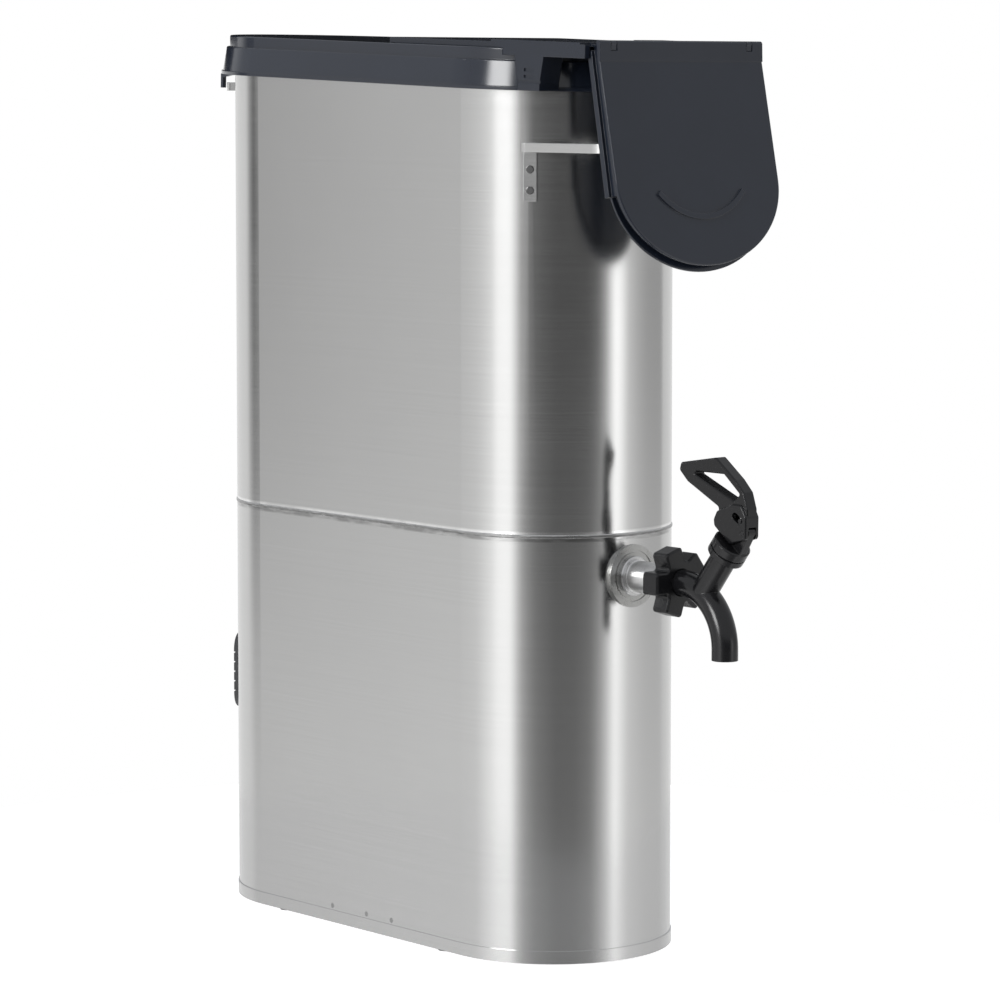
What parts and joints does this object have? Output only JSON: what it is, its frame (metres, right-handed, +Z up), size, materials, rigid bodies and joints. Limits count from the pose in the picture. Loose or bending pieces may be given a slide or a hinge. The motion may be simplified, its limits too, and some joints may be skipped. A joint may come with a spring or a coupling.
{
  "type": "brew-through iced tea dispenser",
  "caption": "Narrow oval steel dispenser with a brew-through lid, fold-over flap, strap handles, hollow stand and a self-closing lever faucet.",
  "frame": {"origin": "centre of the body's plan, on the counter", "axes": "+Z up along the body's height, -Y towards the faucet, X across the narrow width"},
  "size_m": [0.1816, 0.5301, 0.6209],
  "materials": {
    "brushed_steel": "fine horizontal brushing",
    "weld_bead": "ground weld bead",
    "ring_steel": "satin",
    "strap_steel": "satin, edges bright",
    "rivet_steel": "satin",
    "boss_steel": "turned rings",
    "washer_steel": "bright",
    "spring_steel": "bright wire",
    "black_rubber": "matte",
    "pale_silicone": "satin",
    "bumper_plastic": "ribbed",
    "faucet_plastic": "semi gloss black",
    "nut_plastic": "black",
    "lever_plastic": "semi gloss black",
    "lid_plastic": "dark grey, slightly glossy",
    "frame_plastic": "dark grey",
    "flap_plastic": "dark grey"
  },
  "bodies": {
    "body": {"reservoir_shell": "brushed_steel", "reservoir_floor": "brushed_steel", "base_shell": "brushed_steel", "weld_seam": "weld_bead", "base_ring": "ring_steel", "rubber_feet": "black_rubber", "front_handle": "strap_steel", "front_handle_rivets": "rivet_steel", "rear_handle": "strap_steel", "rear_handle_rivets": "rivet_steel", "rear_bumper": "bumper_plastic", "bumper_screws": "rivet_steel", "faucet_boss": "boss_steel", "outer_washer": "washer_steel", "shank": "washer_steel", "inner_gasket": "pale_silicone", "shank_nut": "washer_steel", "faucet_body": "faucet_plastic", "tail_ring": "black_rubber", "bonnet": "faucet_plastic", "lever_pin": "washer_steel", "stem_spring": "spring_steel"},
    "wing_nut": {"wing_nut": "nut_plastic"},
    "lever": {"lever": "lever_plastic"},
    "stem": {"valve_stem": "washer_steel", "seat_cup": "pale_silicone", "stem_pin": "washer_steel"},
    "lid": {"lid_base": "lid_plastic", "brew_frame": "frame_plastic", "hinge_pin": "washer_steel"},
    "flap": {"flap": "flap_plastic"}
  },
  "joints": [
    {"name": "lid_lift", "type": "slide", "parent": "body", "child": "lid", "axis": [0, 0, 1], "range_m": [0, 0.08]},
    {"name": "flap_hinge", "type": "hinge", "parent": "lid", "child": "flap", "pos_m": [0, -0.2369, 0.61115], "axis": [-1, 0, 0], "range_deg": [0, 256.25]},
    {"name": "lever_hinge", "type": "hinge", "parent": "body", "child": "lever", "pos_m": [0, -0.30266, 0.29733], "axis": [1, 0, 0], "range_deg": [0, 40], "stiffness_Nm_per_rad": 0.2, "springref_deg": -17.19},
    {"name": "stem_slide", "type": "slide", "parent": "body", "child": "stem", "axis": [0, -0.6157, 0.788], "range_m": [0, 0.0062], "deforming": ["stem_spring"]},
    {"name": "wing_nut_spin", "type": "hinge", "parent": "body", "child": "wing_nut", "pos_m": [0, -0.2327, 0.259], "axis": [0, -1, 0], "continuous": true}
  ],
  "couplings": [
    {"joint": "stem_slide", "follows": "lever_hinge", "m_per_rad": 0.0085944}
  ]
}
